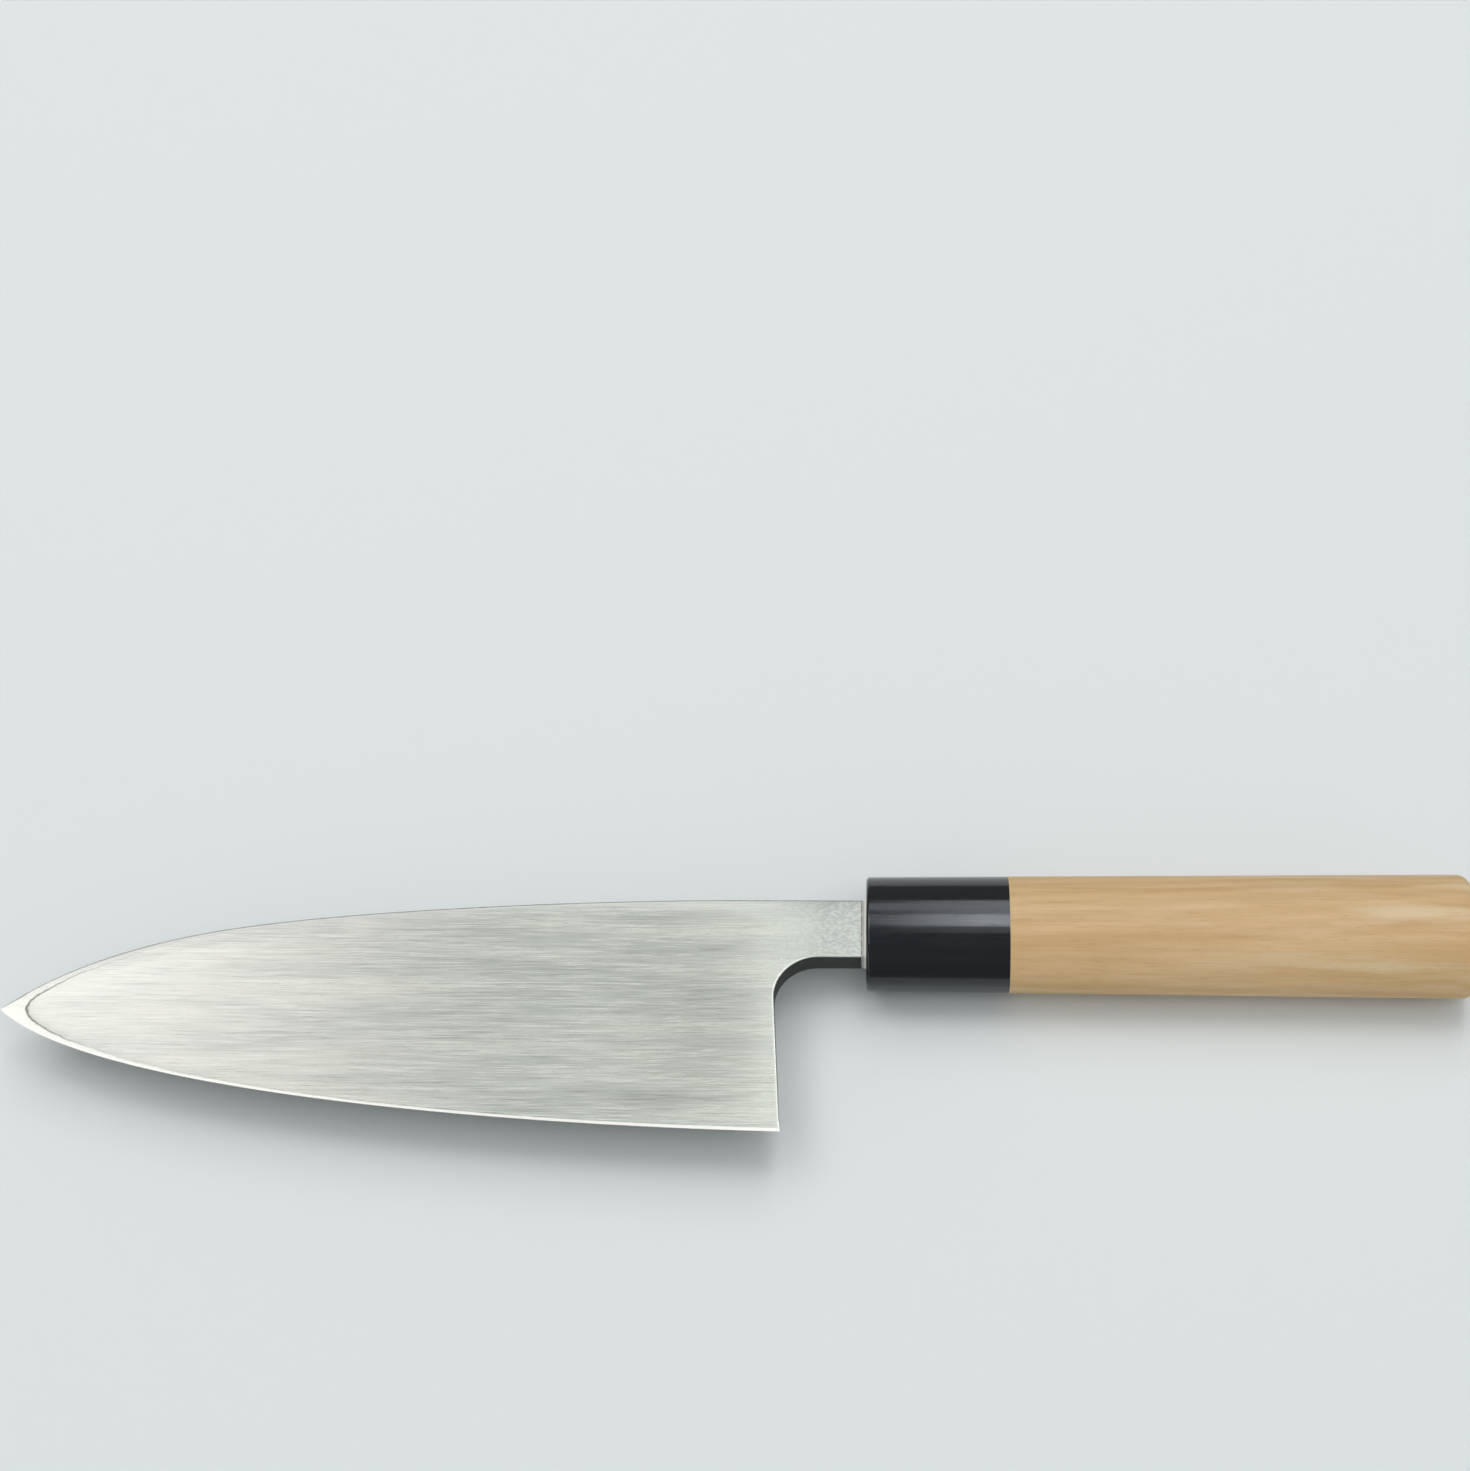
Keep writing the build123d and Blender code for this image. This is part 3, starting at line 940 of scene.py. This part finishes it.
def stitch(sheets, extra):
    build = bmesh.new()
    for points, slot in sheets:
        grid = [[add_point(build, point) for point in line] for line in points]
        for low, high in zip(grid, grid[1:]):
            for a, b, c, d in zip(low, low[1:], high[1:], high):
                build.faces.new((a, b, c, d)).material_index = slot
    bmesh.ops.remove_doubles(build, verts=build.verts, dist=merge_within * mm)
    bmesh.ops.dissolve_degenerate(build, edges=build.edges, dist=needle_below * mm)
    if extra:
        extra(build)
    bmesh.ops.recalc_face_normals(build, faces=build.faces)
    return build


print("points merge within, mm:", merge_within)

# %% [markdown]
# The skin becomes a mesh with its finishes. Corners sharper than 35 degrees stay sharp in the
# shading. Each point keeps its distances in mm from the rim and from the honed strip, which the
# steel's finish reads. Points more than 1 mm below the back are told that the rim is far away,
# so no stain shows there.

# %% A finished piece
sharp_angle = math.radians(35)
rim_depth = 1
far_from_rim = 9


def sew(name, sheets, finishes, extra=None):
    build = stitch(sheets, extra)
    open_edges = sum(len(edge.link_faces) != 2 for edge in build.edges)
    mesh = bpy.data.meshes.new(name)
    build.to_mesh(mesh)
    build.free()
    for face in mesh.polygons:
        face.use_smooth = True
    mesh.set_sharp_from_angle(angle=sharp_angle)
    for material in finishes:
        mesh.materials.append(material)
    places = np.array([vertex.co for vertex in mesh.vertices]) / mm
    rim = rim_inset(places[:, 0], places[:, 1])
    rim[places[:, 2] < back_z - rim_depth] = far_from_rim
    honed_and_sheen = honed_reach(places[:, 0], places[:, 1])
    mesh.attributes.new("rim", "FLOAT", "POINT").data.foreach_set("value", rim)
    mesh.attributes.new("honed_and_sheen", "FLOAT", "POINT").data.foreach_set("value", honed_and_sheen)
    piece = bpy.data.objects.new(name, mesh)
    bpy.context.scene.collection.objects.link(piece)
    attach(piece, "root")
    print(name, "points:", len(mesh.vertices), "open edges:", open_edges)
    return piece


print("corners stay sharp from, degrees:", round(math.degrees(sharp_angle)))

# %% [markdown]
# A sheet is either a block of points lifted to one surface, or a wall that joins two surfaces
# along a line. The walls of the heel and the choil take a piece's second finish, forge scale.


# %% Sheets and walls
def surface(block, height, slot=0):
    return np.dstack([block, height(block[..., 0], block[..., 1])]), slot


def wall(line, high, low, slot=0):
    x, y = line[:, 0], line[:, 1]
    return np.stack([np.stack([x, y, high(x, y)], -1), np.stack([x, y, low(x, y)], -1)]), slot


def outline_walls(parts, high, low, dark):
    return [
        wall(parts["blade"][:, 0], high, low),
        wall(parts["fan"][:, 0], high, low),
        wall(parts["blade"][0], high, low),
        wall(parts["blade"][:, -1], high, low),
        wall(parts["heel"][:, -1], high, low),
        wall(parts["heel"][-1], high, low, dark),
        wall(parts["strip"][:, -1], high, low, dark),
    ]


print("walls of the steel:", len(outline_walls(blocks["steel"], steel_top, steel_under, 1)))

# %% [markdown]
# The steel takes the whole back: hollow, rim and cutting edge, with the bevel's bright strip
# underneath. It ends on a slant across the neck, where it was welded on.

# %% The hard steel piece
parts = blocks["steel"]
names = ("blade", "heel", "fan", "strip")
sheets = [surface(parts[name], height) for name in names for height in (steel_top, steel_under)]
sheets += outline_walls(parts, steel_top, steel_under, 1)
sheets += [wall(parts[name][-1], steel_top, steel_under) for name in ("fan", "strip")]
steel_piece = sew("steel_back", sheets, [hard_steel, forge_scale])
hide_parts("edge_steel")

# %% [markdown]
# At the shoulder the iron steps down to the tang, which is burned into the handle and can't be
# seen. It is four long sides and an end. The shoulder's face is filled between its own outline
# and the tang's root, so the two are one closed skin.

# %% The tang
tang_step = 0.8
tang_length = 104.0
tang_end_size = (6.5, 3.0)
lean_drop = neck_height * face_lean
tang_size = (neck_height - 2 * tang_step, spine_thickness - lean_drop - 2 * tang_step)
tang_z = back_z - (spine_thickness - lean_drop) / 2
collar_low, collar_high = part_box("ferrule")
tang_end_y = (collar_low.y + collar_high.y) / 2 / mm


def add_tang(build):
    rings = []
    for x, y, size in (
        (shoulder_x, spine_y - neck_height / 2, tang_size),
        (shoulder_x + tang_length, tang_end_y, tang_end_size),
    ):
        signs = ((-1, -1), (1, -1), (1, 1), (-1, 1))
        places = [(x, y + a * size[0] / 2, tang_z + b * size[1] / 2) for a, b in signs]
        rings.append([add_point(build, place) for place in places])
    root_edges = [build.edges.new((rings[0][k], rings[0][k - 1])) for k in range(4)]
    rim = [
        edge for edge in build.edges
        if edge.is_boundary and all(abs(v.co.x - shoulder_x * mm) < 1e-6 for v in edge.verts)
    ]
    bmesh.ops.triangle_fill(build, use_beauty=True, edges=rim + root_edges)
    for k in range(4):
        build.faces.new((rings[0][k - 1], rings[0][k], rings[1][k], rings[1][k - 1]))
    build.faces.new(rings[1])


print("tang root and end, mm:", [round(value, 2) for value in tang_size], tang_end_size)

# %% [markdown]
# The iron lies under the weld and reaches from there to the shoulder. Near the tip the bevel has
# ground it all away, so its columns start where some is left. Past the end of the steel it
# comes up to the back.

# %% The soft iron piece
parts = blocks["iron"]
first = int(np.argmax(spine_row - weld_row > 0.05))
parts["blade"] = parts["blade"][first:]
names = ("blade", "heel", "fan", "strip")
sheets = [surface(parts[name], height) for name in names for height in (weld_z, iron_under)]
sheets += outline_walls(parts, weld_z, iron_under, 1)
sheets += [wall(parts[name][-1], steel_top, weld_z) for name in ("fan", "strip")]
for name in ("neck", "neck_strip"):
    sheets += [surface(parts[name], height) for height in (steel_top, iron_under)]
sheets += [
    wall(parts["neck"][:, 0], steel_top, weld_z),
    wall(parts["neck"][:, 0], weld_z, iron_under),
    wall(parts["neck_strip"][:, -1], steel_top, weld_z, 1),
    wall(parts["neck_strip"][:, -1], weld_z, iron_under, 1),
]
iron_piece = sew("iron_body", sheets, [soft_iron, forge_scale], add_tang)
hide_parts("blade_body")

# %% [markdown]
# The resin closes the collar's mouth round the tang. Inside it fills the mouth, so there its
# outline is taken from the frame's own piece. In front it stands out as a bead that follows the
# neck. Both outlines are rings with the same number of points, so that they can be joined.

# %% Rings of the resin seal
bead_corner = 0.4
corner_points = 7
side_points = 24
hair = 0.01
seal_middle = (spine_y + belly_y) / 2
seal_half = (neck_height / 2 - 0.05, (spine_thickness - lean_drop) / 2 - 0.02)
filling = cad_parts["tang_seal"]
filled = np.array([filling.matrix_world @ vertex.co for vertex in filling.data.vertices]) / mm
filled_end = filled[:, 0].max()
filled = filled[filled[:, 0] > filled_end - hair] - (0, seal_middle, tang_z)
outer = (abs(filled[:, 1]) > tang_size[0] / 2 + 0.3) | (abs(filled[:, 2]) > tang_size[1])
mouth_turns = np.arctan2(filled[outer, 2], filled[outer, 1])
mouth_reach = np.hypot(filled[outer, 1], filled[outer, 2])


def bead_ring(x, half_y, half_z, radius):
    corners = []
    for a, b, start in ((1, 1, 0), (-1, 1, 90), (-1, -1, 180), (1, -1, 270)):
        turns = np.radians(start + np.linspace(0, 90, corner_points))
        y = seal_middle + a * (half_y - radius) + radius * np.cos(turns)
        z = tang_z + b * (half_z - radius) + radius * np.sin(turns)
        corners.append(np.stack([np.full(corner_points, x), y, z], -1))
    ring = []
    for corner, following in zip(corners, corners[1:] + corners[:1]):
        side = np.linspace(corner[-1], following[0], side_points + 2)[1:-1]
        ring += [tuple(place) for place in (*corner, *side)]
    return ring + ring[:1]


def mouth_ring(x):
    ring = []
    for _, y, z in bead_ring(x, *seal_half, bead_corner):
        turn = math.atan2(z - tang_z, y - seal_middle)
        radius = np.interp(turn, mouth_turns, mouth_reach, period=2 * math.pi)
        ring.append((x, seal_middle + radius * math.cos(turn), tang_z + radius * math.sin(turn)))
    return ring


print("mouth outline, points:", len(mouth_reach), "end, mm:", round(filled_end, 2))

# %% [markdown]
# The rings run round the neck: out over the bead, which flares a little where it wets the
# collar, along the filling, and back through the hole that the tang fills.

# %% The resin seal
hole_corner = 0.2
seal_length = 1.2
seal_recess = 0.3
collar_x = shoulder_x + seal_length
profile = ((0, 0.0), (0.5, 0.0), (0.85, 0.05), (1.05, 0.14), (1.2, 0.3), (1.5, 0.3))
tang_half = (tang_size[0] / 2, tang_size[1] / 2)
rings = [bead_ring(shoulder_x, *tang_half, hole_corner)]
for along, grown in profile:
    half_y, half_z = [half + grown for half in seal_half]
    rings.append(bead_ring(shoulder_x + along, half_y, half_z, bead_corner))
rings += [mouth_ring(collar_x + seal_recess), mouth_ring(filled_end)]
rings.append(bead_ring(filled_end, *tang_half, hole_corner))
rings.append(rings[0])
seal_piece = sew("resin_seal", [(rings, 0)], [resin])
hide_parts("tang_seal")
print("rings of the seal:", len(rings))

# %% [markdown]
# The pieces whose shape is already right keep their place and their mesh, and only take the
# finish that belongs to their slot.

# %% Put the finishes on the pieces
finishes = {
    "ferrule": horn,
    "handle_body": wood,
}
for node_name, material in finishes.items():
    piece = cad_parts[node_name]
    for slot in piece.material_slots:
        slot.material = material
    print(node_name, "is", material.name)

# %% [markdown]
# The table is a large sheet of pale paper. Only its colour and the soft shadow on it matter, so
# it is one flat mesh, far wider than the picture.

# %% Table
table_reach = 1600 * mm
table_mesh = bpy.data.meshes.new("table")
corners = [(x * table_reach, y * table_reach, 0) for x, y in ((-1, -1), (1, -1), (1, 1), (-1, 1))]
table_mesh.from_pydata(corners, [], [(0, 1, 2, 3)])
table = bpy.data.objects.new("table", table_mesh)
bpy.context.scene.collection.objects.link(table)
paper, tree = start_material("table_paper")
tooth = pattern(tree, (0.8, 0.8, 0.8), detail=2)
shader = add_node(tree, "ShaderNodeBsdfPrincipled", {
    "Base Color": mix(tree, tooth, colour("#dae0e1"), colour("#dce1e2")),
    "Roughness": 0.9,
    "Specular IOR Level": 0.2,
})
finish_material(tree, shader)
table_mesh.materials.append(paper)
print("table reach, m:", table_reach)

# %% [markdown]
# The light is a studio's: seven soft lamps about 2.5 m above the table. A wide one overhead and
# to the right has a small, brighter core, and two more hang in front. The flat back of the blade
# is a blurred mirror, so what counts for it is which lamp each place of it sees: the lamps to the
# left and behind stand round the patch of ceiling that the blade mirrors. Each lamp is given by
# its place, its size, its turn and the brightness of its surface; the power follows from these.


# %% Lamps
def soft_lamp(name, place, size, turn, brightness, tint="#ffffff"):
    data = bpy.data.lights.new(name, "AREA")
    data.shape = "RECTANGLE"
    data.size, data.size_y = [value * mm for value in size]
    data.energy = brightness * math.pi * data.size * data.size_y
    data.color = colour(tint)[:3]
    lamp = bpy.data.objects.new(name, data)
    lamp.location = [value * mm for value in place]
    lamp.rotation_euler = (0, 0, math.radians(turn))
    bpy.context.scene.collection.objects.link(lamp)
    print(name, "power, W:", round(data.energy, 2))
    return lamp


soft_lamp("lamp_overhead", (1130, 240, 2470), (2260, 1390), 0, 0.8)
soft_lamp("lamp_overhead_core", (310, 535, 2460), (600, 950), 0, 4.3)
soft_lamp("lamp_front_right", (1300, -920, 2470), (1900, 900), 0, 1.9)
soft_lamp("lamp_front_left", (-1000, -1000, 2470), (1500, 1000), 0, 1.2)
soft_lamp("lamp_left", (-1400, 580, 2470), (1950, 1560), 135, 2.4, "#fffefb")
soft_lamp("lamp_behind", (495, 2000, 2470), (960, 2080), 0, 2.4)
soft_lamp("lamp_behind_left", (-730, 1980, 2470), (1440, 1000), 0, 1.35)

# %% [markdown]
# The room itself is a plain dome that grows dimmer toward the horizon. Low down, to the left and
# right of the photographer, it has two paler panels, and straight behind the camera none. What
# the camera sees past the table is given a tone close to the table's, by the camera-ray switch.

# %% Room
world = bpy.data.worlds.new("room")
bpy.context.scene.world = world
world.use_nodes = True
tree = world.node_tree
tree.nodes.clear()
way = add_node(tree, "ShaderNodeTexCoord").outputs["Generated"]
way = add_node(tree, "ShaderNodeSeparateXYZ", {"Vector": way}).outputs
sideways = combine(tree, "ABSOLUTE", way["X"], 0)
to_the_sides = spread(tree, sideways, 0.2, 0.4)
in_front = spread(tree, way["Y"], -0.15, 0.15, 1, 0)
low_down = spread(tree, way["Z"], 0.4, 0.6, 0.6, 0)
panels = combine(tree, "MULTIPLY", to_the_sides, in_front)
panels = combine(tree, "MULTIPLY", panels, low_down)
height_light = spread(tree, way["Z"], 0.0, 0.45, 0.22, 0.31)
dome = add_node(tree, "ShaderNodeBackground", {
    "Color": colour("#fdfeff"),
    "Strength": combine(tree, "ADD", height_light, panels),
})
past_table = add_node(tree, "ShaderNodeBackground", {"Color": colour("#dbe0e1")})
rays = add_node(tree, "ShaderNodeLightPath")
seen = add_node(tree, "ShaderNodeMixShader", {
    "Fac": rays.outputs["Is Camera Ray"],
    1: dome.outputs["Background"],
    2: past_table.outputs["Background"],
})
add_node(tree, "ShaderNodeOutputWorld", {"Surface": seen.outputs["Shader"]})
print("made:", world.name)
